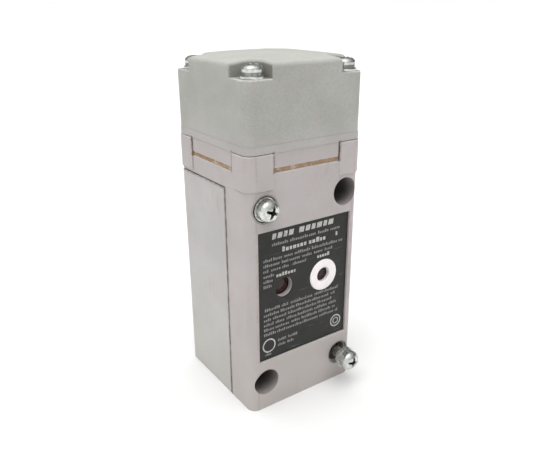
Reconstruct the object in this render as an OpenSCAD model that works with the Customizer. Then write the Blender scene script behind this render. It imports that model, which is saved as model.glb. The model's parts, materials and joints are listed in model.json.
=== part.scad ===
/* [Housing] */
// Width of the housing across the front
body_w = 42; // [41:0.5:46]
// Depth of the housing from back face to front face
body_d = 40.5; // [40:0.5:44]
// Depth of the front slab of the switch body
slab_d = 12.9; // [12.5:0.1:14]
// Gap between the receptacle and the switch body, filled by the seal
seam_gap = 0.4; // [0.3:0.1:0.6]
// Radius of the front vertical edges
edge_r = 3; // [2:0.5:4]
// Radius of the rear vertical edges of the head and the collar
head_rear_r = 1.2; // [0.8:0.1:2]
// Radius of the rear vertical edges of the receptacle
rear_edge_r = 0.8; // [0.5:0.1:1.5]
// Height of the receptacle
receptacle_h = 73.8; // [72:0.2:76]
// Side wall of the receptacle and of the switch body
wall = 2.6; // [2.2:0.1:3]
// Back wall of the receptacle
back_wall = 3; // [2.5:0.5:4]

/* [Collar and head] */
// Height of the collar shelf over the base
shelf_h = 79.8; // [79.4:0.1:81]
// Height of the four corner posts over the base
post_h = 85.5; // [84:0.5:87]
// Half the gap between neighbouring posts
post_inner = 12.25; // [12:0.25:12.75]
// How far the posts stand proud of the sides
post_proud = 0.4; // [0.2:0.1:0.6]
// Thickness of the head gasket
gasket_t = 1.3; // [1:0.1:1.5]
// Height of the top edge of the head over the base
head_edge_h = 110.4; // [109:0.2:113]
// Rise of the crowned sensing face
crown = 1.3; // [0.8:0.1:2]
// Height of the notch floors over the base
notch_floor_h = 106; // [105:0.5:107]

/* [Mounting and conduit] */
// Distance between the mounting holes across the width
hole_pitch_x = 30.2; // [29:0.1:31]
// Distance between the mounting holes along the height
hole_pitch_z = 59.5; // [59:0.1:60]
// Height of the lower mounting hole over the base
lower_hole_h = 9.95; // [9.5:0.05:10.5]
// Radius of the mounting screw holes
mount_hole_r = 2.65; // [2.5:0.05:2.9]
// Radius of the access bores for the mounting screws
access_r = 4.5; // [4.2:0.1:4.6]
// Radius of the conduit thread
conduit_r = 10.2; // [9.5:0.1:10.4]
// Height of the solid foot that holds the conduit thread
foot_h = 16; // [15:0.5:18]

/* [Nameplate and windows] */
// Half width of the nameplate
plate_half_w = 17.6; // [16:0.1:18]
// Height of the nameplate's lower edge over the base
plate_low_h = 18; // [17:0.5:20]
// Height of the nameplate's upper edge over the base
plate_top_h = 62.2; // [60:0.2:63]
// Depth of the nameplate recess
recess_d = 1.1; // [0.8:0.1:1.4]
// Thickness of the nameplate
plate_t = 0.4; // [0.3:0.1:0.5]
// Distance of each window from the middle
window_x = 7.8; // [7:0.1:8.5]
// Height of the windows over the base
window_h = 42.1; // [40:0.1:44]
// Radius of the output window
output_r = 3.2; // [2.8:0.1:3.4]
// Outer radius of the white ring
ring_r = 5.4; // [5:0.1:6]
// Inner radius of the white ring
ring_bore_r = 2.5; // [2:0.1:3]

/* [Captive screws] */
// Thread pitch
screw_pitch = 0.79375; // [0.7:0.00625:1]
// Turns that the lower screw is backed out
lower_turns_out = 5.5; // [0:0.5:8]
// Radius of the screw head
screw_head_r = 3.4; // [3.2:0.1:3.8]
// Height of the screw head
screw_head_h = 4.2; // [3.6:0.1:4.4]
// Radius of the relieved shank
screw_shank_r = 2.1; // [1.9:0.1:2.3]
// Radius over the thread
screw_thread_r = 2.4; // [2.3:0.05:2.5]
// Radius of the counterbore
counterbore_r = 4.1; // [4.1:0.05:4.3]
// Depth of the counterbore
counterbore_d = 1.2; // [1:0.1:1.6]
// Thickness of the lock washers
lock_washer_t = 1.1; // [0.9:0.1:1.2]
// Outer radius of the lock washers
lock_washer_r = 3.7; // [3.6:0.1:4]

/* [Hidden] */
$fn = 96;

// The origin is the middle of the mounting hole pattern, on the back face. The wall is at +Y.
pattern_h = lower_hole_h + hole_pitch_z / 2;
upper_hole_h = lower_hole_h + hole_pitch_z;
hole_x = hole_pitch_x / 2;
half_w = body_w / 2;
front = -body_d;
mid_y = front / 2;
slab_rear = front + slab_d;
receptacle_front = slab_rear + seam_gap;
receptacle_d = -receptacle_front;
collar_low_h = receptacle_h + seam_gap;
eps = 0.01;

// Height of the tongues' lower edges, and of the head over the posts
tongue_low_h = shelf_h + gasket_t;
head_low_h = post_h + 0.2;
tongue_half = post_inner - 0.2;
tongue_t = 3;
head_cavity_top_h = 107.6;
head_wall = 2.6;
head_arm_half = 10.6;
head_cavity_x = half_w - head_wall;
head_cavity_y = body_d / 2 - head_wall;
notch_half_x = 12.2;
notch_half_y = 11.6;
notch_corner_r = 4.2;
head_screw_offset = 16.4;
head_screw_shank_r = 2.05;
head_column_bore_r = 2.35;
head_thread_bore_r = 2.1;
head_screw_low_h = 77;
flat_washer_t = 0.8;
head_washer_r = 3.5;
head_screw_head_r = 3.05;
head_screw_head_h = 2.3;
head_lock_washer_r = 3;
head_lock_washer_t = 0.9;

// Ferrite cup core behind the sensing face, open end up
core_r = 10.4;
core_low_h = 99.4;
core_base = 2.4;

// Band round the foot of the head that stands slightly proud of its sides
skirt_top_h = 88;
skirt_proud = 0.15;

// Inside of the switch body: a wide pocket between the screws and a narrow one that reaches the collar
front_wall = 3;
pocket_front = front + front_wall;
pocket_half = half_w - wall;
pocket_low_h = 16.6;
pocket_top_h = 62.6;
shaft_half = 9.2;
shaft_low_h = 3;
shaft_top_h = 71.4;
channel_rear = -8;
channel_floor_h = collar_low_h + 1.6;
carrier_t = 2;
board_t = 1.6;
board_front = -35.5;
board_rear = board_front + board_t;

// Inside of the receptacle
block_front = -21;
block_low_h = 29;
block_top_h = 62.4;
block_half = 17.6;
pole_pitch = 8.4;
poles = [-1.5, -0.5, 0.5, 1.5] * pole_pitch;
contact_h = 52.5;
terminal_h = 39.5;
strip_rear = -12.2;
strip_t = 0.8;
pole_slot_half = 3;
blade_t = 0.8;
blade_half = 2;
ground_x = -12.5;
ground_h = 21.5;

// Captive screw stations, measured forward from the back face with the screw tight
seat_y = body_d - counterbore_d;
head_under_y = seat_y + lock_washer_t;
shank_rear_y = 28.3;
thread_rear_y = 20.5;
ledge_rear_y = 36.6;
shank_bore_r = 3.6;
ring_pocket_r = 4.8;
retaining_ring_t = 0.8;
retaining_ring_r = 4.4;
thread_bore_r = screw_thread_r + 0.05;
thread_bore_end_y = 17;
lower_out = lower_turns_out * screw_pitch;

// Puts its children at a height over the base
module at_height(h) {
    translate([0, 0, h - pattern_h]) children();
}

// A place on the front, seen from the front; local +Z points forward from the back face
module facing_front(x, h) {
    translate([x, 0, h - pattern_h]) rotate([90, 0, 0]) children();
}

// Box between two x values, two y values and two heights
module block(x0, x1, y0, y1, h0, h1) {
    at_height(h0) translate([x0, y0, 0]) cube([x1 - x0, y1 - y0, h1 - h0]);
}

// Rectangle with round corners, front corners of radius rf and rear corners of radius rb
module rounded_plan(half, y0, y1, rf, rb) {
    translate([-half, y0 + rf]) square([2 * half, y1 - y0 - rf - rb]);
    translate([-half + rf, y0]) square([2 * (half - rf), rf + eps]);
    translate([-half + rb, y1 - rb - eps]) square([2 * (half - rb), rb + eps]);
    for (side = [-1, 1]) {
        translate([side * (half - rf), y0 + rf]) circle(r = rf);
        translate([side * (half - rb), y1 - rb]) circle(r = rb);
    }
}

module column(half, y0, y1, h0, h1, rf, rb) {
    at_height(h0) linear_extrude(h1 - h0) rounded_plan(half, y0, y1, rf, rb);
}

// Cylinder along Y at a place on the front, between two distances from the back face
module bore_y(x, h, r, from_back, to_front) {
    facing_front(x, h) translate([0, 0, from_back]) cylinder(r = r, h = to_front - from_back);
}

// Upright cylinder between two heights
module bore_z(x, y, r, h0, h1) {
    at_height(h0) translate([x, y, 0]) cylinder(r = r, h = h1 - h0);
}

// Flat ring from 0 to t
module washer(outer_r, inner_r, t) {
    difference() {
        cylinder(r = outer_r, h = t);
        translate([0, 0, -1]) cylinder(r = inner_r, h = t + 2);
    }
}

// Split lock washer: a flat ring with one slot
module lock_washer(outer_r, inner_r, t) {
    difference() {
        washer(outer_r, inner_r, t);
        translate([inner_r - 1, -0.3, -1]) cube([outer_r, 0.6, t + 2]);
    }
}

// Pan head with a cross recess, standing on z = 0
module pan_head(r, h) {
    dome_h = h * 0.38;
    dome_r = (r * r + dome_h * dome_h) / (2 * dome_h);
    slot_w = r * 0.3;
    slot_half = r * 0.58;
    difference() {
        intersection() {
            cylinder(r = r, h = h);
            translate([0, 0, h - dome_r]) sphere(r = dome_r);
        }
        for (turn = [0, 90]) {
            rotate([0, 0, turn]) translate([-slot_half, -slot_w / 2, h * 0.45]) cube([2 * slot_half, slot_w, h]);
        }
    }
}

module pan_screw(head_r, head_h, shank_r, shank_l) {
    pan_head(head_r, head_h);
    translate([0, 0, -shank_l]) cylinder(r = shank_r, h = shank_l + eps);
}

module at_head_screws() {
    for (x = [-1, 1]) {
        for (y = [-1, 1]) {
            translate([x * head_screw_offset, mid_y + y * head_screw_offset, 0]) children();
        }
    }
}

module receptacle_housing() {
    color("#c6c0be") difference() {
        column(half_w, receptacle_front, 0, 0, receptacle_h, 0.3, rear_edge_r);
        block(-pocket_half, pocket_half, receptacle_front - 1, -back_wall, foot_h, pocket_top_h);
        block(-shaft_half, shaft_half, receptacle_front - 1, -back_wall, foot_h, shaft_top_h);
        bore_z(0, receptacle_front / 2, conduit_r, -1, foot_h + 1);
        bore_y(-hole_x, lower_hole_h, mount_hole_r, -1, receptacle_d + 1);
        bore_y(hole_x, upper_hole_h, mount_hole_r, -1, receptacle_d + 1);
        bore_y(hole_x, lower_hole_h, thread_bore_r, thread_bore_end_y, receptacle_d + 1);
        bore_y(-hole_x, upper_hole_h, thread_bore_r, thread_bore_end_y, receptacle_d + 1);
        bore_y(ground_x, ground_h, 1.6, 1, back_wall + 1);
    }
}

module terminal_block() {
    color("#2b2826") difference() {
        block(-block_half, block_half, block_front, -back_wall, block_low_h, block_top_h);
        for (x = poles) {
            block(x - pole_slot_half, x + pole_slot_half, block_front - 1, strip_rear, 34, 56.5);
            bore_y(x, terminal_h, 1.75, 7, 14);
        }
        for (h = [31.6, 59.6]) {
            bore_y(0, h, 1.6, 0, 22);
            bore_y(0, h, 2.7, 18, 22);
        }
    }
}

// Strip under each terminal screw, with two spring leaves that grip the blade
module contact_sockets() {
    color("#c9a860") for (x = poles) {
        difference() {
            block(x - 2.7, x + 2.7, strip_rear - strip_t, strip_rear, 35, 56);
            bore_y(x, terminal_h, 1.75, 10, 16);
        }
        for (side = [-1, 1]) {
            leaf = x + side * (blade_t / 2 + 0.3 + 0.3);
            block(leaf - 0.3, leaf + 0.3, block_front + 0.4, strip_rear - strip_t + eps, 49.5, 55.5);
        }
    }
}

module pressure_plates() {
    color("#b8b4a8") for (x = poles) {
        difference() {
            block(x - 2.8, x + 2.8, -15.2, -14.2, terminal_h - 3, terminal_h + 3);
            bore_y(x, terminal_h, 1.75, 13, 17);
        }
    }
}

module terminal_screws() {
    color("#cfcfca") for (x = poles) {
        facing_front(x, terminal_h) translate([0, 0, 15.2]) pan_screw(2.6, 2.2, 1.7, 7.2);
    }
}

module block_screws() {
    color("#cfcfca") for (h = [31.6, 59.6]) {
        facing_front(0, h) translate([0, 0, 18]) pan_screw(2.6, 2.2, 1.5, 14.9);
    }
}

module ground_screw() {
    color("#3f7a4c") facing_front(ground_x, ground_h) translate([0, 0, back_wall]) pan_screw(3.2, 2.4, 1.5, 1.9);
}

// Corner posts that stand proud of the sides; flush with the back, which is the mounting face
module posts() {
    low_h = collar_low_h + 0.9;
    difference() {
        column(half_w + post_proud, front - post_proud, 0, low_h, post_h, edge_r + post_proud, head_rear_r);
        block(-post_inner, post_inner, front - 2, 1, low_h - 1, post_h + 1);
        block(-half_w - 2, half_w + 2, mid_y - post_inner, mid_y + post_inner, low_h - 1, post_h + 1);
    }
}

module captive_screw_bore(x, h) {
    bore_y(x, h, counterbore_r, seat_y, body_d + 1);
    bore_y(x, h, shank_bore_r, 20, body_d);
    bore_y(x, h, ring_pocket_r, 20, ledge_rear_y);
}

module body_housing() {
    color("#b9b0ae") difference() {
        union() {
            column(half_w, front, slab_rear, 0, collar_low_h + eps, edge_r, 0.3);
            column(half_w, front, 0, collar_low_h, shelf_h, edge_r, head_rear_r);
            posts();
        }
        block(-plate_half_w - 0.15, plate_half_w + 0.15, front - 1, front + recess_d,
            plate_low_h - 0.15, plate_top_h + 0.15);
        bore_y(window_x, window_h, ring_r + 0.02, 30, body_d);
        bore_y(-window_x, window_h, output_r, 30, body_d);
        bore_y(hole_x, upper_hole_h, access_r, 20, body_d + 1);
        bore_y(-hole_x, lower_hole_h, access_r, 20, body_d + 1);
        captive_screw_bore(-hole_x, upper_hole_h);
        captive_screw_bore(hole_x, lower_hole_h);
        block(-pocket_half, pocket_half, pocket_front, slab_rear + 1, pocket_low_h, pocket_top_h);
        block(-shaft_half, shaft_half, pocket_front, slab_rear + 1, shaft_low_h, shaft_top_h);
        block(-shaft_half, shaft_half, pocket_front, slab_rear - 1.6, shaft_top_h - 1, shelf_h + 1);
        block(-shaft_half, shaft_half, pocket_front, channel_rear, channel_floor_h, shelf_h + 1);
        at_head_screws() bore_z(0, 0, head_thread_bore_r, 76, post_h + 1);
    }
}

module body_seal() {
    color("#1c1b1a") difference() {
        block(-half_w + 0.5, half_w - 0.5, slab_rear, receptacle_front, 0.5, receptacle_h - 0.5);
        block(-pocket_half, pocket_half, slab_rear - 1, receptacle_front + 1, pocket_low_h, pocket_top_h);
        block(-shaft_half, shaft_half, slab_rear - 1, receptacle_front + 1, shaft_low_h, shaft_top_h);
        for (hole = [[-hole_x, lower_hole_h], [hole_x, upper_hole_h]]) {
            bore_y(hole[0], hole[1], access_r + 0.1, 20, 30);
        }
        for (hole = [[hole_x, lower_hole_h], [-hole_x, upper_hole_h]]) {
            bore_y(hole[0], hole[1], ring_pocket_r + 0.1, 20, 30);
        }
    }
}

module nameplate() {
    color("#3a3938") difference() {
        block(-plate_half_w, plate_half_w, front + recess_d - plate_t, front + recess_d, plate_low_h, plate_top_h);
        bore_y(window_x, window_h, ring_r + 0.02, 30, body_d);
        bore_y(-window_x, window_h, output_r + 0.1, 30, body_d);
    }
}

module power_ring() {
    color("#f2efec") facing_front(window_x, window_h) translate([0, 0, 38.6]) washer(ring_r, ring_bore_r, 1.5);
}

module power_lens() {
    color("#3c2228") bore_y(window_x, window_h, 4.6, body_d - front_wall, 38.6);
}

module output_lens() {
    color("#2a1414") bore_y(-window_x, window_h, output_r, body_d - front_wall, 38);
}

module circuit_board() {
    color("#2f6b45") block(-17.4, 17.4, board_front, board_rear, 17.6, 61.6);
}

module indicator_leds() {
    color("#d8d2c8") for (x = [-window_x, window_x]) {
        bore_y(x, window_h, 1.5, -board_front, body_d - front_wall);
    }
}

module control_chip() {
    color("#262626") block(-4, 4, board_rear, board_rear + 1.6, 24, 34);
}

module output_switch() {
    color("#303030") block(-15, -5, board_rear, board_rear + 3, 20, 34);
}

module capacitors() {
    color("#4a5a86") for (x = [8.5, 14]) {
        bore_z(x, board_rear + 2.01, 2, 22, 33);
    }
}

module contact_carrier() {
    color("#33302e") difference() {
        union() {
            block(-pocket_half, pocket_half, slab_rear - carrier_t, slab_rear, pocket_low_h, pocket_top_h);
            block(-shaft_half, shaft_half, slab_rear - carrier_t, slab_rear, shaft_low_h, shaft_top_h);
        }
        for (x = poles) {
            block(x - blade_t / 2, x + blade_t / 2, slab_rear - carrier_t - 1, slab_rear + 1,
                contact_h - blade_half, contact_h + blade_half);
        }
    }
}

module contact_blades() {
    color("#c9a860") for (x = poles) {
        block(x - blade_t / 2, x + blade_t / 2, board_rear, -16, contact_h - blade_half, contact_h + blade_half);
    }
}

module head_socket() {
    color("#2b2b2b") difference() {
        block(-6, 6, mid_y - 4, mid_y + 4, channel_floor_h, 82.5);
        for (x = [-1.5, -0.5, 0.5, 1.5] * 2.54) {
            block(x - 0.65, x + 0.65, mid_y - 0.65, mid_y + 0.65, 77, 83);
        }
    }
}

// Flat lead from the head socket forward and down to the circuit board
module ribbon_lead() {
    color("#8d8a80") {
        block(-4, 4, board_rear, mid_y - 4, 77, 77.7);
        block(-4, 4, board_rear, board_rear + 0.7, 57.5, 77.7);
    }
}

module head_gasket() {
    reach = 0.35;
    color("#bb9878") difference() {
        union() {
            block(-tongue_half, tongue_half, front + reach, -reach, shelf_h, tongue_low_h);
            block(-half_w + reach, half_w - reach, mid_y - tongue_half, mid_y + tongue_half,
                shelf_h, tongue_low_h);
        }
        block(-shaft_half, shaft_half, pocket_front, channel_rear, shelf_h - 1, tongue_low_h + 1);
    }
}

module captive_lock_washer(x, h, out) {
    color("#b4b4b0") facing_front(x, h) translate([0, 0, seat_y + out]) {
        lock_washer(lock_washer_r, screw_shank_r + 0.03, lock_washer_t);
    }
}

module captive_retaining_ring(x, h, out) {
    color("#8c8c88") facing_front(x, h) translate([0, 0, shank_rear_y + 0.1 + out]) {
        lock_washer(retaining_ring_r, screw_shank_r + 0.03, retaining_ring_t);
    }
}

module captive_screw(x, h, out) {
    color("#d4d4d0") facing_front(x, h) translate([0, 0, head_under_y + out]) {
        pan_screw(screw_head_r, screw_head_h, screw_shank_r, head_under_y - shank_rear_y);
        translate([0, 0, thread_rear_y - head_under_y]) {
            cylinder(r = screw_thread_r, h = shank_rear_y - thread_rear_y + eps);
        }
    }
}

module upper_lock_washer() {
    captive_lock_washer(-hole_x, upper_hole_h, 0);
}

module upper_retaining_ring() {
    captive_retaining_ring(-hole_x, upper_hole_h, 0);
}

module upper_captive_screw() {
    captive_screw(-hole_x, upper_hole_h, 0);
}

module lower_lock_washer() {
    captive_lock_washer(hole_x, lower_hole_h, lower_out);
}

module lower_retaining_ring() {
    captive_retaining_ring(hole_x, lower_hole_h, lower_out);
}

module lower_captive_screw() {
    captive_screw(hole_x, lower_hole_h, lower_out);
}

// Plus-shaped space inside the head, between the corner columns
module head_cavity(h0, h1) {
    block(-head_cavity_x, head_cavity_x, mid_y - head_arm_half, mid_y + head_arm_half, h0, h1);
    block(-head_arm_half, head_arm_half, mid_y - head_cavity_y, mid_y + head_cavity_y, h0, h1);
}

module head_tongues() {
    difference() {
        union() {
            block(-tongue_half, tongue_half, front, 0, tongue_low_h, head_low_h + eps);
            block(-half_w, half_w, mid_y - tongue_half, mid_y + tongue_half, tongue_low_h, head_low_h + eps);
        }
        block(-half_w + tongue_t, half_w - tongue_t, front + tongue_t, -tongue_t, tongue_low_h - 1, head_low_h + 1);
    }
}

// Notch for one head screw, open at the top and to both sides, with a round inner corner
module screw_notch() {
    reach = 20;
    depth = 20;
    at_height(notch_floor_h) linear_extrude(depth) {
        translate([notch_half_x + notch_corner_r, notch_half_y]) square([reach, reach]);
        translate([notch_half_x, notch_half_y + notch_corner_r]) square([reach, reach]);
        translate([notch_half_x + notch_corner_r, notch_half_y + notch_corner_r]) circle(r = notch_corner_r);
    }
}

module head_housing() {
    crown_r = (half_w * half_w + crown * crown) / (2 * crown);
    color("#a9aca6") difference() {
        union() {
            intersection() {
                column(half_w, front, 0, head_low_h, head_edge_h + crown, edge_r, head_rear_r);
                at_height(head_edge_h + crown - crown_r) translate([0, mid_y, 0]) sphere(r = crown_r, $fn = 200);
            }
            column(half_w + skirt_proud, front - skirt_proud, 0, head_low_h, skirt_top_h, edge_r, head_rear_r);
            head_tongues();
        }
        head_cavity(tongue_low_h - 1, head_cavity_top_h);
        for (x = [-1, 1]) {
            for (y = [-1, 1]) {
                translate([0, mid_y, 0]) scale([x, y, 1]) screw_notch();
            }
        }
        at_head_screws() bore_z(0, 0, head_column_bore_r, head_low_h - 1, notch_floor_h + 1);
    }
}

module ferrite_core() {
    color("#3b3b3f") difference() {
        bore_z(0, mid_y, core_r, core_low_h, head_cavity_top_h);
        difference() {
            bore_z(0, mid_y, 8.8, core_low_h + core_base, head_cavity_top_h + 1);
            bore_z(0, mid_y, 4.4, core_low_h, head_cavity_top_h + 1);
        }
        bore_z(0, mid_y, 1.2, core_low_h - 1, head_cavity_top_h + 1);
    }
}

module coil_bobbin() {
    low_h = core_low_h + core_base;
    color("#e6e1d3") difference() {
        bore_z(0, mid_y, 8.7, low_h, head_cavity_top_h);
        bore_z(0, mid_y, 4.5, low_h - 1, head_cavity_top_h + 1);
        difference() {
            bore_z(0, mid_y, 9.5, low_h + 0.6, head_cavity_top_h - 0.6);
            bore_z(0, mid_y, 5.2, low_h, head_cavity_top_h);
        }
    }
}

module coil_winding() {
    low_h = core_low_h + core_base + 0.6;
    color("#b4642c") difference() {
        bore_z(0, mid_y, 8.4, low_h, head_cavity_top_h - 0.6);
        bore_z(0, mid_y, 5.2, low_h - 1, head_cavity_top_h);
    }
}

module oscillator_board() {
    color("#2f6b45") block(-10, 10, mid_y - 10, mid_y + 10, 95.4, 97);
}

module oscillator_chip() {
    color("#262626") block(-3, 3, mid_y + 4, mid_y + 8, 93.8, 95.4);
}

module head_plug() {
    color("#2b2b2b") block(-6, 6, mid_y - 3, mid_y + 3, 83.2, 95.4);
}

module plug_pins() {
    color("#c9a860") for (x = [-1.5, -0.5, 0.5, 1.5] * 2.54) {
        block(x - 0.32, x + 0.32, mid_y - 0.32, mid_y + 0.32, 78, 83.2);
    }
}

module potting() {
    color("#5c5148") difference() {
        head_cavity(90, head_cavity_top_h);
        bore_z(0, mid_y, core_r + 0.05, core_low_h, head_cavity_top_h + 1);
        block(-10, 10, mid_y - 10, mid_y + 10, 95.4, 97);
        block(-3, 3, mid_y + 4, mid_y + 8, 93.8, 95.4 + eps);
        block(-6, 6, mid_y - 3, mid_y + 3, 89, 95.4 + eps);
    }
}

module head_flat_washers() {
    color("#b4b4b0") at_head_screws() at_height(notch_floor_h) {
        washer(head_washer_r, head_screw_shank_r + 0.05, flat_washer_t);
    }
}

module head_lock_washers() {
    color("#9c9c98") at_head_screws() at_height(notch_floor_h + flat_washer_t) {
        lock_washer(head_lock_washer_r, head_screw_shank_r + 0.05, head_lock_washer_t);
    }
}

module head_screws() {
    under_h = notch_floor_h + flat_washer_t + head_lock_washer_t;
    color("#d4d4d0") at_head_screws() at_height(under_h) {
        pan_screw(head_screw_head_r, head_screw_head_h, head_screw_shank_r, under_h - head_screw_low_h);
    }
}

receptacle_housing();
terminal_block();
contact_sockets();
pressure_plates();
terminal_screws();
block_screws();
ground_screw();
body_housing();
body_seal();
nameplate();
power_ring();
power_lens();
output_lens();
circuit_board();
indicator_leds();
control_chip();
output_switch();
capacitors();
contact_carrier();
contact_blades();
head_socket();
ribbon_lead();
head_gasket();
upper_lock_washer();
upper_retaining_ring();
upper_captive_screw();
lower_lock_washer();
lower_retaining_ring();
lower_captive_screw();
head_housing();
ferrite_core();
coil_bobbin();
coil_winding();
oscillator_board();
oscillator_chip();
potting();
head_plug();
plug_pins();
head_flat_washers();
head_lock_washers();
head_screws();
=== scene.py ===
"""Plug-in limit switch with an inductive sensing head: its looks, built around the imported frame."""

import json
import math
import random

import bmesh
import bpy
from mathutils import Matrix, Vector


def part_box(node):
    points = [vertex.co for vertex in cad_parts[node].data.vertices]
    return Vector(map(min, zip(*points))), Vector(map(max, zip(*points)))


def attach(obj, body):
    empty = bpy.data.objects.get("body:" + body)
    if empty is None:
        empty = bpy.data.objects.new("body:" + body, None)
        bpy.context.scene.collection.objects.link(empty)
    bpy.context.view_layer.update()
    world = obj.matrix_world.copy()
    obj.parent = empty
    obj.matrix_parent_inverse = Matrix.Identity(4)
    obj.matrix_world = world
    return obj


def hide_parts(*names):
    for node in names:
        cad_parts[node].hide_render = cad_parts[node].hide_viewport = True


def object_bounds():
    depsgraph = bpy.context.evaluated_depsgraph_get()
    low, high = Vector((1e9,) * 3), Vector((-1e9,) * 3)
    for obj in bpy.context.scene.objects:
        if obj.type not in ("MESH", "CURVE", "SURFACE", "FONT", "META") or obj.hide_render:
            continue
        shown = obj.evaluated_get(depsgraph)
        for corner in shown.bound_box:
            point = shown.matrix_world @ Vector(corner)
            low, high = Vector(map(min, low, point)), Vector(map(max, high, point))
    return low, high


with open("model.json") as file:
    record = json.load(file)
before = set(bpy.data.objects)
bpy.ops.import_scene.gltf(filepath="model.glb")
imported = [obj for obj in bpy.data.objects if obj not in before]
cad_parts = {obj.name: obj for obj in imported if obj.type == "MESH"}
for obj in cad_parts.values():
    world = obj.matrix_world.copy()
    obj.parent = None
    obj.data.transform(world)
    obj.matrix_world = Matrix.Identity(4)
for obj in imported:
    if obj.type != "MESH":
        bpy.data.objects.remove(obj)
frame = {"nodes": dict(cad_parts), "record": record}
cad_low, cad_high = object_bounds()

MM = 0.001
BODY_OF = {node: body for body, nodes in frame["record"]["behaviour"]["bodies"].items() for node in nodes}
SLOT_OF = {part["node"]: part["material_slot"] for part in frame["record"]["subparts"]}

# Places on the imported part, in metres
seam_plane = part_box("body_seal")[0].y
seam_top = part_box("receptacle_housing")[1].z
head_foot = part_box("head_gasket")[1].z
head_low, head_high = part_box("head_housing")
head_middle = (head_low.y + head_high.y) / 2
cad_front_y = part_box("body_housing")[0].y

# The camera, in degrees and millimetres. It looks at a point on the body's axis, moved right and up
# in the picture
CAMERA_AZIMUTH = -34.6
CAMERA_ELEVATION = 21.53
CAMERA_ROLL = -0.28
CAMERA_DISTANCE = 192.1
CAMERA_FOCAL = 37.9
SENSOR_WIDTH = 36.0
AIM = Vector((0, -20.25, 20.3))
AIM_RIGHT = 1.07
AIM_UP = -6.17

# Screws, in millimetres
CAPTIVE_HEAD = 4.2
CAPTIVE_SHANK_R = 2.1
CAPTIVE_THREAD_R = 2.4
CAPTIVE_THREAD = 7.8
CAPTIVE_PITCH = 0.794
HEAD_SCREW_HEAD = 2.3
HEAD_SCREW_SHANK_R = 2.05
HEAD_SCREW_THREAD = 9
HEAD_SCREW_PITCH = 0.794
TERMINAL_HEAD = 2.2
TERMINAL_SHANK_R = 1.7
BLOCK_SHANK_R = 1.5
GROUND_HEAD = 2.4
INSIDE_PITCH = 0.6
CONDUIT_PITCH = 1.814

# Screw heads: rounding at the foot in millimetres, and the angle of the dome where the rings change pace
HEAD_FILLET = 0.12
HEAD_SHOULDER = math.radians(50)

# The four front holes, in millimetres: (x, z)
HOLES = [(x, z) for z in (-29.75, 29.75) for x in (-15.1, 15.1)]
BORE_R = 4.55

# Bore of the white ring, in millimetres
RING_BORE = 2.5

# Gaps between the corner posts and the head's tongues, in millimetres from the middle of the head
POST_GAP = 12.15

# Rubbed line down the front corners of the body, in millimetres from the middle
CORNER_LINE = 18.3

# Screw notches of the head, in millimetres: inner walls from its middle, and the painted shade in them from
# its top
NOTCH_X = 12.2
NOTCH_Y = 11.6
NOTCH_SHADE_LOW = (6.2, 5.5)
NOTCH_SHADE_HIGH = (2.3, 1.5)

# Stretches of the head with roundings of their own, in millimetres below its top
HEAD_CROWN = 5.4
HEAD_LEDGES = 7
HEAD_BAND_TOP = 22.8
HEAD_BAND_FOOT = 25

# Driver recess of a screw, as shares of its head's radius
RECESS_REACH = 0.62
RECESS_HALF_WIDTH = 0.12

# Light
DOME_STRENGTH = 0.97
KEY_STRENGTH = 1.0

# Turns local z towards the front
FRONTWARD = Matrix(((1, 0, 0), (0, 0, -1), (0, 1, 0))).to_4x4()


def clamp(value, low=0.0, high=1.0):
    return max(low, min(high, value))


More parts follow.
